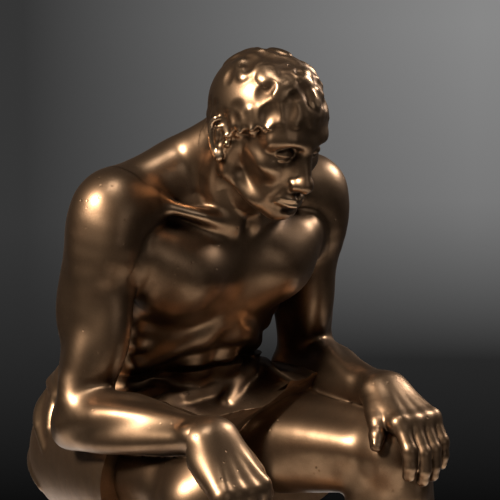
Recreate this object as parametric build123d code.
from build123d import *

import os
from math import cos, pi, radians, sin, sqrt

# A seated, resting figure, cast in sections that are pinned together.
# It sits on a rough rock seat, on a ground slab and a polished stone plinth.
# Millimetres and degrees. The figure faces -Y, its right side is at -X, +Z is up,
# and the origin is the middle of the underside.

# Plinth, and the felt under it
felt_thickness = 2.0
felt_inset = 3.0
plinth_width = 118.0
plinth_depth = 150.0
plinth_foot_height = 13.0
plinth_cap_height = 9.0
plinth_step = 4.0
plinth_corner = 7.0
plinth_edge = 1.8

# Ground slab, which follows the plinth's outline roughly
slab_width = 104.0
slab_depth = 136.0
slab_height = 8.0
slab_bevel = 1.6
slab_outline_shares = [
    (0.95, -0.62), (0.98, -0.10), (0.92, 0.42), (0.80, 0.86), (0.35, 0.97),
    (-0.25, 0.93), (-0.72, 0.98), (-0.97, 0.66), (-0.91, 0.12), (-0.99, -0.45),
    (-0.84, -0.88), (-0.30, -0.97), (0.28, -0.92), (0.74, -0.98),
]

# Rock seat: a hollow casting, drawn as rings of corners round its middle
seat_height = 57.0
rock_width = 80.0
rock_depth = 64.0
rock_setback = 33.0
rock_wall = 6.0
rock_ring_shares = [
    (0.00, [1.16, 1.04, 1.08, 1.00, 1.02, 1.10, 1.18, 1.06, 1.10, 1.00, 1.12]),
    (0.22, [1.08, 1.10, 0.98, 1.00, 1.06, 1.00, 1.10, 1.13, 1.00, 1.06, 1.02]),
    (0.50, [1.12, 0.98, 1.04, 0.94, 0.98, 1.06, 1.02, 1.08, 0.92, 1.08, 1.06]),
    (0.78, [1.00, 1.03, 0.97, 1.01, 0.96, 0.98, 1.06, 0.98, 1.00, 0.92, 1.02]),
    (1.00, [0.94, 0.95, 0.99, 0.92, 0.98, 0.95, 0.98, 0.92, 0.90, 0.95, 0.92]),
]
# Chiselled facets: the way each faces, round the rock and upwards, and the wall that they leave
rock_facet_angles = [
    (14, 8), (47, 22), (76, 4), (104, 18), (139, 10), (168, 26), (197, 6), (228, 20), (256, 9),
    (281, 24), (309, 5), (338, 19), (30, 40), (122, 38), (214, 42), (296, 40),
]
facet_wall = 3.0

# Studs that clamp the rock and the slab to the plinth
stud_diameter = 6.0
stud_spacing = 46.0
stud_in_rock = 16.0
stud_past_nut = 1.5
boss_diameter = 15.0
washer_diameter = 12.5
washer_thickness = 1.2
nut_across_flats = 10.0
nut_height = 5.0
pocket_diameter = 16.0
pocket_depth = 9.5
stud_clearance = 0.25

# Pins between the castings
pin_diameter = 3.0
pin_length = 14.0
waist_pin_length = 10.0
wrist_pin_diameter = 2.0
wrist_pin_length = 9.0
seat_pin_diameter = 5.0
seat_pin_length = 11.0
sole_pin_diameter = 2.5
sole_pin_length = 9.0
pin_clearance = 0.1

# Figure: lengths between joints
head_height = 38.0
neck_length = 18.0
trunk_length = 80.0
shoulder_spread = 34.0
upper_arm_length = 54.0
forearm_length = 42.0
hip_spread = 15.5
thigh_length = 69.0
shin_length = 69.0
ankle_height = 12.0

# Figure: how it sits
hip_setback = 41.0
hip_above_seat = 16.0
right_foot_reach = 62.0
left_foot_reach = 78.0
foot_spread = 29.0
knee_splay_share = 0.28
right_elbow_out_share = 0.34
left_elbow_out_share = 0.26
trunk_lean_angle = 23.0
neck_lean_angle = 46.0
head_bow_angle = 23.0
head_turn_angle = 6.0
right_wrist_past_knee = 3.0
left_wrist_past_knee = -5.0
wrist_above_knee = 4.6
wrist_out_of_knee = 1.0
leg_gap = 0.4

# Figure: thicknesses
chest_width = 65.0
chest_depth = 42.0
core_wall = 8.0
neck_radius = 10.4
deltoid_radius = 11.4
slope_radius = 10.5
upper_arm_radius = 9.6
elbow_radius = 8.4
forearm_radius = 8.0
wrist_radius = 5.0
hip_radius = 15.6
thigh_radius = 16.4
knee_radius = 11.2
shin_radius = 10.8
ankle_radius = 6.6
head_width = 25.5
head_depth = 31.5
nose_radius = 2.4
cloth_thickness = 2.4

# Hands and feet
palm_length = 17.5
palm_width = 15.5
palm_thickness = 6.8
finger_length = 16.0
finger_radius = 1.9
thumb_length = 13.5
thumb_radius = 2.3
foot_length = 45.0
foot_width = 17.0
foot_heel = 11.0
toe_radius = 3.0

# Sections along each limb: share of its length, then width, depth and setback as shares of its radius
upper_arm_shares = [
    (0.00, 0.84, 0.92, 0.00), (0.20, 1.00, 1.08, 0.00), (0.45, 0.96, 1.10, -0.04),
    (0.70, 0.90, 1.02, -0.04), (0.90, 0.82, 0.80, 0.00), (1.00, 0.78, 0.72, 0.00),
]
# Shoulder muscle: place along the arm and out of it, then width and length as shares of its radius
deltoid_shares = (0.10, 0.06, 1.00, 1.62)
forearm_shares = [
    (0.00, 0.88, 0.86, 0.00), (0.20, 1.14, 1.04, 0.00), (0.42, 1.02, 0.92, 0.00),
    (0.68, 0.78, 0.70, 0.00), (0.90, 0.68, 0.52, 0.00), (1.00, 0.68, 0.50, 0.00),
]
thigh_shares = [
    (0.00, 0.98, 1.02, 0.05), (0.22, 1.06, 1.04, 0.04), (0.48, 1.00, 0.98, 0.02),
    (0.72, 0.84, 0.84, 0.00), (0.90, 0.72, 0.72, 0.00), (1.00, 0.67, 0.66, 0.00),
]
shin_shares = [
    (0.00, 0.98, 0.98, 0.04), (0.12, 0.94, 0.98, 0.12), (0.30, 1.04, 1.12, 0.26),
    (0.52, 0.88, 0.94, 0.22), (0.76, 0.60, 0.66, 0.12), (0.92, 0.54, 0.58, 0.06),
    (1.00, 0.56, 0.60, 0.04),
]
neck_shares = [
    (0.00, 1.10, 1.10, 0.00), (0.50, 1.03, 1.05, 0.00), (0.80, 0.97, 1.00, 0.00), (1.00, 0.95, 1.00, 0.00),
]
neck_rise_share = 0.25
neck_sink_share = 0.33
nose_shares = [(0.00, 0.45, 0.50, 0.00), (0.60, 0.75, 0.80, 0.00), (1.00, 0.95, 0.85, 0.00)]
# The palm's width is a share of the palm's half width, and its depth of its half thickness
palm_shares = [(0.00, 0.64, 0.90), (0.35, 0.92, 1.00), (0.75, 1.00, 0.92), (1.00, 0.96, 0.70)]
# Sections up the trunk: share of its length, setback as a share of the chest's depth,
# share of the full lean, then width and depth as shares of the chest's
pelvis_shares = [
    (-0.24, 0.03, 0.00, 0.80, 0.86), (-0.10, 0.04, 0.10, 0.93, 1.00), (0.06, 0.06, 0.40, 0.95, 1.03),
    (0.20, 0.08, 0.80, 0.86, 0.92), (0.32, 0.09, 1.00, 0.78, 0.86),
]
torso_shares = [
    (0.32, 0.09, 1.00, 0.78, 0.86), (0.48, 0.09, 1.15, 0.86, 0.92), (0.66, 0.07, 1.35, 1.00, 1.02),
    (0.82, 0.05, 1.55, 1.10, 1.02), (0.96, 0.04, 1.75, 1.08, 0.88), (1.06, 0.02, 1.90, 0.74, 0.66),
]
core_sections = slice(0, 4)
wrap_sections = slice(0, 4)
# Cloth round both thighs: share of the way to the knees, then width and height past a thigh's middle
lap_shares = [(-0.16, 0.72, 0.85), (0.00, 1.02, 1.08), (0.22, 1.06, 1.16), (0.46, 1.00, 1.16)]
# Chest muscles and shoulder blades: place in the trunk, then size as shares of chest width, chest depth
# and trunk length
trunk_muscle_shares = [
    ((0.80, 0.44, 0.46), (0.28, 0.26, 0.16)),
    ((0.84, 0.50, -0.80), (0.17, 0.15, 0.18)),
]
# Slopes from the neck to the shoulders: start in the trunk, then sections as for a limb
slope_start_shares = (1.15, 0.06, -0.06)
slope_shares = [(0.00, 0.80, 0.75, 0.00), (0.45, 0.90, 0.80, 0.00), (0.80, 0.95, 0.85, 0.00)]
# Places in the head: shares of its half width, its half depth and its height
head_ahead_share = 0.14
head_rise_share = 0.12
skull_place_shares = (0.0, 0.08, 0.16)
skull_size_shares = (0.50, 0.48, 0.35)
nose_top_shares = (0.0, -0.88, 0.06)
nose_tip_shares = (0.0, -1.06, -0.17)
ear_place_shares = (0.98, 0.10, -0.03)
ear_size_shares = (0.06, 0.10, 0.13)
# Sections down the face: height and setback, then width and depth, as shares of the head's
face_shares = [
    (0.30, 0.00, 0.66, 0.70), (0.12, -0.04, 0.86, 0.84), (-0.08, -0.09, 0.86, 0.78),
    (-0.24, -0.12, 0.76, 0.70), (-0.37, -0.16, 0.60, 0.56), (-0.46, -0.20, 0.42, 0.38),
    (-0.50, -0.22, 0.24, 0.22),
]
# Sections along the foot from the heel: share of its length, width of its width,
# then height and middle height as shares of the ankle's height
foot_shares = [
    (0.00, 0.30, 0.22, 0.20), (0.08, 0.58, 0.42, 0.30), (0.24, 0.66, 0.58, 0.40), (0.42, 0.72, 0.50, 0.32),
    (0.62, 0.92, 0.38, 0.22), (0.78, 1.00, 0.28, 0.16), (0.86, 0.92, 0.20, 0.13),
]
# Toes from the big one outwards: place across and along the foot, and size
toe_shares = [
    (-0.40, 0.86, 1.15), (-0.16, 0.86, 0.86), (0.04, 0.84, 0.82), (0.23, 0.80, 0.78), (0.40, 0.75, 0.74),
]
toe_stretch_share = 2.1
# Fingers from the first: place across the palm, length, and how far each joint curls
right_hand_slope_shares = (-0.05, -0.70, -0.72)
left_hand_slope_shares = (-0.12, -0.92, -0.38)
finger_root_share = 0.92
finger_shares = [(-0.375, 0.90), (-0.125, 1.00), (0.125, 0.96), (0.375, 0.80)]
finger_bone_shares = [0.12, 0.40, 0.28, 0.20]
finger_curl_angles = [10, 24, 28, 18]
thumb_root_shares = (0.30, -0.32, -0.15)
thumb_slope_shares = (1.0, -0.62, -0.18)
thumb_curl_angles = [0, 4, 12, 14]
knuckle_shares = [1.08, 1.00, 0.92, 0.80, 0.42]
# Pins in the trunk
waist_pin_shares = (0.32, 0.62, -0.10)

FRONT = Vector(0, -1, 0)
LEFT = Vector(1, 0, 0)
UP = Vector(0, 0, 1)
RIGHT_SIDE = -1
LEFT_SIDE = 1
SIDES = (RIGHT_SIDE, LEFT_SIDE)
SQUARE_ANGLE = 90
ON_FLOOR = (Align.CENTER, Align.CENTER, Align.MIN)
HANGING = (Align.CENTER, Align.CENTER, Align.MAX)

# Levels
plinth_height = plinth_foot_height + plinth_cap_height
plinth_top = felt_thickness + plinth_height
ground = plinth_top + slab_height
seat_top = ground + seat_height


def leaning(angle):
    """A direction that leans forward from the vertical by an angle."""
    return Vector(0, -sin(radians(angle)), cos(radians(angle)))


def across(direction, axis):
    """The part of a direction that is square to an axis, one long."""
    return (direction - axis * direction.dot(axis)).normalized()


def bent_between(root, tip, root_length, tip_length, towards):
    """The place of a knee or an elbow, bent towards a direction."""
    reach = tip - root
    axis = reach.normalized()
    along = (root_length**2 - tip_length**2 + reach.length**2) / (2 * reach.length)
    out = sqrt(max(root_length**2 - along**2, 0))
    return root + axis * along + across(towards, axis) * out


# Joints of the figure

hip_middle = Vector(0, hip_setback, seat_top + hip_above_seat)
trunk_up = leaning(trunk_lean_angle)
trunk_back = leaning(trunk_lean_angle - SQUARE_ANGLE)
shoulder_middle = hip_middle + trunk_up * trunk_length
neck_base = shoulder_middle + trunk_up * (neck_length * neck_rise_share)
neck_up = leaning(neck_lean_angle)
neck_foot = neck_base - neck_up * neck_length
skull_base = neck_base + neck_up * neck_length
head_up = leaning(head_bow_angle)
head_front = leaning(head_bow_angle + SQUARE_ANGLE)
head_rise = head_up * (head_height * head_rise_share)
head_middle = skull_base + head_rise + head_front * (head_depth * head_ahead_share)
head_plane = Plane(origin=head_middle, x_dir=LEFT, z_dir=head_up).rotated((0, 0, head_turn_angle))


def hip(side):
    return hip_middle + LEFT * (side * hip_spread)


def ankle(side):
    reach = right_foot_reach if side == RIGHT_SIDE else left_foot_reach
    return Vector(side * foot_spread, hip_setback - reach, ground + ankle_height)


def knee(side):
    splay = Vector(side * knee_splay_share, -1, 1)
    return bent_between(hip(side), ankle(side), thigh_length, shin_length, splay)


def shoulder(side):
    return shoulder_middle + LEFT * (side * shoulder_spread)


def wrist(side):
    past_knee = right_wrist_past_knee if side == RIGHT_SIDE else left_wrist_past_knee
    over_knee = UP * (knee_radius + wrist_above_knee) + FRONT * past_knee
    return knee(side) + over_knee + LEFT * (side * wrist_out_of_knee)


def elbow(side):
    out_share = right_elbow_out_share if side == RIGHT_SIDE else left_elbow_out_share
    outward = Vector(side * out_share, 1, -1)
    return bent_between(shoulder(side), wrist(side), upper_arm_length, forearm_length, outward)


# Shapes


def limb(start, end, sideways, shares, radius, extra=0):
    """A lofted limb between two joints, with its width along the sideways direction."""
    bone = end - start
    axis = bone.normalized()
    wide = across(sideways, axis)
    behind = wide.cross(axis)
    rings = []
    for along, width, depth, setback in shares:
        plane = Plane(origin=start + bone * along + behind * (setback * radius), x_dir=wide, z_dir=axis)
        rings.append(plane * Ellipse(width * radius + extra, depth * radius + extra))
    return loft(rings)


def trunk(shares, extra=0):
    """A lofted stretch of the trunk, leaning further the higher it goes."""
    rings = []
    for along, setback, lean, width, depth in shares:
        place = hip_middle + trunk_up * (along * trunk_length) + trunk_back * (setback * chest_depth)
        plane = Plane(origin=place, x_dir=LEFT, z_dir=leaning(lean * trunk_lean_angle))
        rings.append(plane * Ellipse(width * chest_width / 2 + extra, depth * chest_depth / 2 + extra))
    return loft(rings)


def ball(centre, radius, axis=UP):
    """A ball whose poles lie along an axis."""
    return Plane(origin=centre, z_dir=axis) * Sphere(radius)


def egg(plane, across_radius, deep_radius, tall_radius):
    """An ellipsoid in a plane's own axes."""
    return plane * scale(Sphere(1), by=(across_radius, deep_radius, tall_radius))


def pin(centre, axis, diameter, length, clearance=0):
    """A round pin across a joint, or with a clearance the hole that it sits in."""
    return Plane(origin=centre, z_dir=axis) * Cylinder(diameter / 2 + clearance, length + 2 * clearance)


def trunk_point(along, sideways, forward):
    """A point in the trunk: shares of its length, of the chest's half width and of its half depth."""
    place = hip_middle + trunk_up * (along * trunk_length)
    return place + LEFT * (sideways * chest_width / 2) - trunk_back * (forward * chest_depth / 2)


def head_point(sideways, back, up):
    """A point in the head: shares of its half width, its half depth and its height."""
    local = Vector(sideways * head_width / 2, back * head_depth / 2, up * head_height)
    return head_plane.from_local_coords(local)


def head_axes(centre):
    return Plane(origin=centre, x_dir=head_plane.x_dir, z_dir=head_plane.z_dir)


def over(level):
    """A block that fills the space over a level."""
    reach = plinth_width + plinth_depth + trunk_length
    return Pos(0, 0, level) * Box(reach, reach, reach, align=ON_FLOOR)


def beside(side):
    """A block that fills the space on one side of the middle, past half the gap between the legs."""
    reach = plinth_width + plinth_depth + trunk_length
    return Pos(side * (reach + leg_gap) / 2, 0, 0) * Box(reach, 2 * reach, 2 * reach)


# Plinth and felt


def plinth_tier(inset, height, base):
    tier = Pos(0, 0, base) * Box(plinth_width - 2 * inset, plinth_depth - 2 * inset, height, align=ON_FLOOR)
    tier = fillet(tier.edges().filter_by(Axis.Z), plinth_corner)
    return fillet(tier.faces().sort_by(Axis.Z)[-1].edges(), plinth_edge)


def stud_places():
    return [Vector(side * stud_spacing / 2, rock_setback, 0) for side in SIDES]


def make_plinth():
    body = plinth_tier(0, plinth_foot_height, felt_thickness)
    body += plinth_tier(plinth_step, plinth_cap_height, felt_thickness + plinth_foot_height)
    for place in stud_places():
        foot = Pos(place.X, place.Y, felt_thickness)
        body -= foot * Cylinder(pocket_diameter / 2, pocket_depth, align=ON_FLOOR)
        body -= foot * Cylinder(stud_diameter / 2 + stud_clearance, plinth_height, align=ON_FLOOR)
    return body


def make_felt():
    sheet = Box(plinth_width - 2 * felt_inset, plinth_depth - 2 * felt_inset, felt_thickness, align=ON_FLOOR)
    return fillet(sheet.edges().filter_by(Axis.Z), plinth_corner - felt_inset)


# Ground slab and rock seat


def make_slab():
    corners = [(x * slab_width / 2, y * slab_depth / 2) for x, y in slab_outline_shares]
    body = Pos(0, 0, plinth_top) * extrude(make_face(Polyline(*corners, close=True)), slab_height)
    body = chamfer(body.faces().sort_by(Axis.Z)[-1].edges(), slab_bevel)
    for place in stud_places():
        hole = Cylinder(stud_diameter / 2 + stud_clearance, slab_height, align=ON_FLOOR)
        body -= Pos(place.X, place.Y, plinth_top) * hole
    return body


def rock_corners(wall):
    """Rings of corners of the rock's outside, or with a wall of its hollow."""
    rings = []
    for level, shares in rock_ring_shares:
        height = ground + level * (seat_height - wall)
        corners = []
        for number, share in enumerate(shares):
            angle = 2 * pi * number / len(shares)
            x = (rock_width / 2 - wall) * share * cos(angle)
            y = (rock_depth / 2 - wall) * share * sin(angle)
            corners.append(Vector(x, rock_setback + y, height))
        rings.append(corners)
    return rings


def rock_stack(wall):
    """The rock's outside, or with a wall its hollow."""
    return loft([make_face(Polyline(*corners, close=True)) for corners in rock_corners(wall)], ruled=True)


def rock_facet(turn_angle, rise_angle):
    """The space outside a flat facet, which leaves a wall over the rock's hollow."""
    level = cos(radians(rise_angle))
    way = Vector(level * cos(radians(turn_angle)), level * sin(radians(turn_angle)), sin(radians(rise_angle)))
    furthest = max(corner.dot(way) for ring in rock_corners(rock_wall) for corner in ring)
    reach = rock_width + rock_depth + seat_height
    middle = Vector(0, rock_setback, ground)
    place = middle + way * (furthest + facet_wall - middle.dot(way))
    return Plane(origin=place, z_dir=way) * Box(reach, reach, reach, align=ON_FLOOR)


def make_rock():
    body = rock_stack(0) - rock_stack(rock_wall)
    for turn_angle, rise_angle in rock_facet_angles:
        body -= rock_facet(turn_angle, rise_angle)
    for place in stud_places():
        foot = Pos(place.X, place.Y, ground)
        body += foot * Cylinder(boss_diameter / 2, seat_height - rock_wall / 2, align=ON_FLOOR)
        hole_depth = stud_in_rock + pin_clearance
        body -= foot * Cylinder(stud_diameter / 2 + pin_clearance, hole_depth, align=ON_FLOOR)
    return body


# Studs, washers and nuts


def make_fasteners():
    washer_top = felt_thickness + pocket_depth
    nut_top = washer_top - washer_thickness
    stud_end = nut_top - nut_height - stud_past_nut
    bore = Cylinder(stud_diameter / 2 + pin_clearance, plinth_height)
    hexagon = RegularPolygon(nut_across_flats / 2, 6, major_radius=False)
    studs, washers, nuts = [], [], []
    for place in stud_places():
        rod = Cylinder(stud_diameter / 2, ground + stud_in_rock - stud_end, align=ON_FLOOR)
        ring = Cylinder(washer_diameter / 2, washer_thickness, align=HANGING) - bore
        nut = Pos(0, 0, -nut_height) * extrude(hexagon, nut_height) - bore
        studs.append(Pos(place.X, place.Y, stud_end) * rod)
        washers.append(Pos(place.X, place.Y, washer_top) * ring)
        nuts.append(Pos(place.X, place.Y, nut_top) * nut)
    return studs, washers, nuts


# Castings of the figure, each whole, before it is fitted to its neighbours


def whole_torso():
    body = trunk(torso_shares)
    for side in SIDES:
        for (along, sideways, forward), (wide, deep, tall) in trunk_muscle_shares:
            plane = Plane(origin=trunk_point(along, side * sideways, forward), x_dir=LEFT, z_dir=trunk_up)
            body += egg(plane, wide * chest_width, deep * chest_depth, tall * trunk_length)
        along, sideways, forward = slope_start_shares
        neck_side = trunk_point(along, side * sideways, forward)
        body += limb(neck_side, shoulder(side), FRONT, slope_shares, slope_radius)
    return body


def whole_head():
    neck_top = skull_base + neck_up * (neck_length * neck_sink_share)
    neck = limb(neck_foot, neck_top, LEFT, neck_shares, neck_radius)
    wide, deep, tall = skull_size_shares
    skull = egg(
        head_axes(head_point(*skull_place_shares)), wide * head_width, deep * head_depth, tall * head_height
    )
    rings = []
    for up, setback, width, depth in face_shares:
        plane = head_axes(head_point(0, 2 * setback, up))
        rings.append(plane * Ellipse(width * head_width / 2, depth * head_depth / 2))
    nose_tip = head_point(*nose_tip_shares)
    nose = limb(head_point(*nose_top_shares), nose_tip, LEFT, nose_shares, nose_radius)
    body = neck + skull + loft(rings) + nose + ball(nose_tip, nose_radius)
    wide, deep, tall = ear_size_shares
    for side in SIDES:
        sideways, back, up = ear_place_shares
        plane = head_axes(head_point(side * sideways, back, up))
        body += egg(plane, wide * head_width, deep * head_depth, tall * head_height)
    return body


def whole_arm(side):
    body = limb(shoulder(side), elbow(side), LEFT, upper_arm_shares, upper_arm_radius)
    body += limb(elbow(side), wrist(side), LEFT, forearm_shares, forearm_radius)
    along, out, wide, tall = deltoid_shares
    bone = elbow(side) - shoulder(side)
    middle = shoulder(side) + bone * along + LEFT * (side * out * deltoid_radius)
    plane = Plane(origin=middle, x_dir=across(LEFT, bone.normalized()), z_dir=bone)
    body += egg(plane, wide * deltoid_radius, deltoid_radius, tall * deltoid_radius)
    body += ball(elbow(side), elbow_radius)
    return body + ball(wrist(side), wrist_radius, wrist(side) - elbow(side))


def hand_axes(side):
    """The hand's own directions: along the fingers, towards the little finger, and out of its back."""
    inward, forward, rise = right_hand_slope_shares if side == RIGHT_SIDE else left_hand_slope_shares
    ahead = Vector(side * inward, forward, rise).normalized()
    return ahead, across(LEFT * side, ahead), across(UP, ahead)


def finger(root, ahead, back, length, radius, curls):
    """A finger lofted through its knuckles, bent at each by its curl."""
    sideways = ahead.cross(back)
    place, turn, rings = root, 0, []
    for bone_share, curl, size_share in zip(finger_bone_shares, curls, knuckle_shares):
        facing = radians(turn + curl / 2)
        heading = ahead * cos(facing) - back * sin(facing)
        rings.append(Plane(origin=place, x_dir=sideways, z_dir=heading) * Circle(radius * size_share))
        turn += curl
        bone = ahead * cos(radians(turn)) - back * sin(radians(turn))
        place = place + bone * (bone_share * length)
    rings.append(Plane(origin=place, x_dir=sideways, z_dir=bone) * Circle(radius * knuckle_shares[-1]))
    return loft(rings)


def whole_hand(side):
    ahead, outward, back = hand_axes(side)
    root = wrist(side)
    rings = []
    for along, width, depth in palm_shares:
        plane = Plane(origin=root + ahead * (along * palm_length), x_dir=outward, z_dir=ahead)
        rings.append(plane * Ellipse(width * palm_width / 2, depth * palm_thickness / 2))
    body = loft(rings)
    for sideways, length_share in finger_shares:
        base = root + ahead * (palm_length * finger_root_share) + outward * (sideways * palm_width)
        body += finger(base, ahead, back, finger_length * length_share, finger_radius, finger_curl_angles)
    along, sideways, rise = thumb_root_shares
    base = root + ahead * (along * palm_length) + outward * (sideways * palm_width)
    base = base + back * (rise * palm_thickness)
    forward, sideways, rise = thumb_slope_shares
    slope = (ahead * forward + outward * sideways + back * rise).normalized()
    return body + finger(base, slope, across(back, slope), thumb_length, thumb_radius, thumb_curl_angles)


def whole_leg(side):
    body = limb(hip(side), knee(side), LEFT, thigh_shares, thigh_radius)
    body += limb(knee(side), ankle(side), LEFT, shin_shares, shin_radius)
    body += ball(hip(side), hip_radius)
    body += ball(knee(side), knee_radius)
    return body & beside(side)


def whole_foot(side):
    heel = Vector(ankle(side).X, ankle(side).Y + foot_heel, ground)
    rings = []
    for along, width, height, middle in foot_shares:
        place = heel + FRONT * (along * foot_length) + UP * (middle * ankle_height)
        plane = Plane(origin=place, x_dir=LEFT, z_dir=FRONT)
        rings.append(plane * Ellipse(width * foot_width / 2, height * ankle_height))
    body = loft(rings) + ball(ankle(side), ankle_radius)
    for sideways, along, share in toe_shares:
        size = toe_radius * share
        place = heel + FRONT * (along * foot_length) + LEFT * (side * sideways * foot_width) + UP * size
        body += egg(Plane(origin=place, x_dir=LEFT, z_dir=FRONT), size, size, size * toe_stretch_share)
    return body & over(ground)


def whole_cloth():
    knee_middle = (knee(RIGHT_SIDE) + knee(LEFT_SIDE)) / 2
    knee_spread = (knee(LEFT_SIDE) - knee(RIGHT_SIDE)).X / 2
    rings = []
    for along, width, height in lap_shares:
        spread = hip_spread + (knee_spread - hip_spread) * max(along, 0)
        plane = Plane(origin=hip_middle + (knee_middle - hip_middle) * along, x_dir=LEFT, z_dir=FRONT)
        half_width = spread + width * thigh_radius + cloth_thickness
        rings.append(plane * Ellipse(half_width, height * thigh_radius + cloth_thickness))
    wrap = trunk(pelvis_shares[wrap_sections], cloth_thickness) + loft(rings)
    return wrap & over(seat_top)


# Pins, by the joint that they cross: centre, axis, diameter and length of each


def pin_table():
    waist_along, waist_side, waist_front = waist_pin_shares
    table = {name: [] for name in ("shoulder", "waist", "wrist", "hip", "ankle", "sole", "seat")}
    table["neck"] = [(neck_foot, neck_up, pin_diameter, pin_length)]
    for side in SIDES:
        ahead = hand_axes(side)[0]
        inner_shoulder = shoulder(side) - LEFT * (side * deltoid_radius)
        table["shoulder"].append((inner_shoulder, LEFT, pin_diameter, pin_length))
        waist = trunk_point(waist_along, side * waist_side, waist_front)
        table["waist"].append((waist, trunk_up, pin_diameter, waist_pin_length))
        knuckle_side = wrist(side) + ahead * wrist_radius
        table["wrist"].append((knuckle_side, ahead, wrist_pin_diameter, wrist_pin_length))
        table["hip"].append((hip(side) + trunk_up * hip_radius, trunk_up, pin_diameter, pin_length))
        shin_axis = (ankle(side) - knee(side)).normalized()
        table["ankle"].append((ankle(side), shin_axis, sole_pin_diameter, sole_pin_length))
        sole = Vector(ankle(side).X, ankle(side).Y, ground) + FRONT * foot_heel
        table["sole"].append((sole, UP, sole_pin_diameter, sole_pin_length))
        seat = Vector(side * hip_spread, hip_setback, seat_top)
        table["seat"].append((seat, UP, seat_pin_diameter, seat_pin_length))
    return table


def drilled(casting, pins, *joints):
    """A casting with the pin holes of these joints."""
    for joint in joints:
        for centre, axis, diameter, length in pins[joint]:
            casting -= pin(centre, axis, diameter, length, pin_clearance)
    return casting


# Fit the castings to each other, and drill them


def fitted_parts():
    pins = pin_table()
    rock = rock_stack(0)
    legs = {side: whole_leg(side) - rock for side in SIDES}
    arms = {side: whole_arm(side) - legs[side] for side in SIDES}
    head = whole_head()
    both_legs = legs[RIGHT_SIDE] + legs[LEFT_SIDE]
    both_arms = arms[RIGHT_SIDE] + arms[LEFT_SIDE]
    pelvis = trunk(pelvis_shares) & over(seat_top)
    core = trunk(torso_shares[core_sections], -core_wall)
    solid_torso = whole_torso()
    torso = solid_torso - core - head - both_arms
    cloth = whole_cloth() - pelvis - both_legs - both_arms - solid_torso
    studs, washers, nuts = make_fasteners()
    parts = {
        "felt_pad": make_felt(),
        "stone_plinth": make_plinth(),
        "ground_slab": drilled(make_slab(), pins, "sole"),
        "rock_seat": drilled(make_rock(), pins, "seat"),
        "plinth_studs": Compound(studs),
        "stud_washers": Compound(washers),
        "stud_nuts": Compound(nuts),
        "head": drilled(head, pins, "neck"),
        "torso": drilled(torso, pins, "neck", "shoulder", "waist"),
        "hips": drilled(pelvis - both_legs, pins, "waist", "hip", "seat"),
        "hip_cloth": drilled(cloth, pins, "seat"),
    }
    for side, word in ((RIGHT_SIDE, "right"), (LEFT_SIDE, "left")):
        hand = whole_hand(side) - arms[side] - legs[side]
        foot = whole_foot(side) - legs[side]
        parts[f"{word}_arm"] = drilled(arms[side], pins, "shoulder", "wrist")
        parts[f"{word}_hand"] = drilled(hand, pins, "wrist")
        parts[f"{word}_leg"] = drilled(legs[side], pins, "hip", "ankle", "seat")
        parts[f"{word}_foot"] = drilled(foot, pins, "ankle", "sole")
    for joint, rows in pins.items():
        name = f"{joint}_pins" if len(rows) > 1 else f"{joint}_pin"
        parts[name] = Compound([pin(*row) for row in rows])
    return parts


os.makedirs("parts", exist_ok=True)
for name, shape in fitted_parts().items():
    export_step(shape, f"parts/{name}.step")
    print(name, "solids", len(shape.solids()), "volume", round(shape.volume))
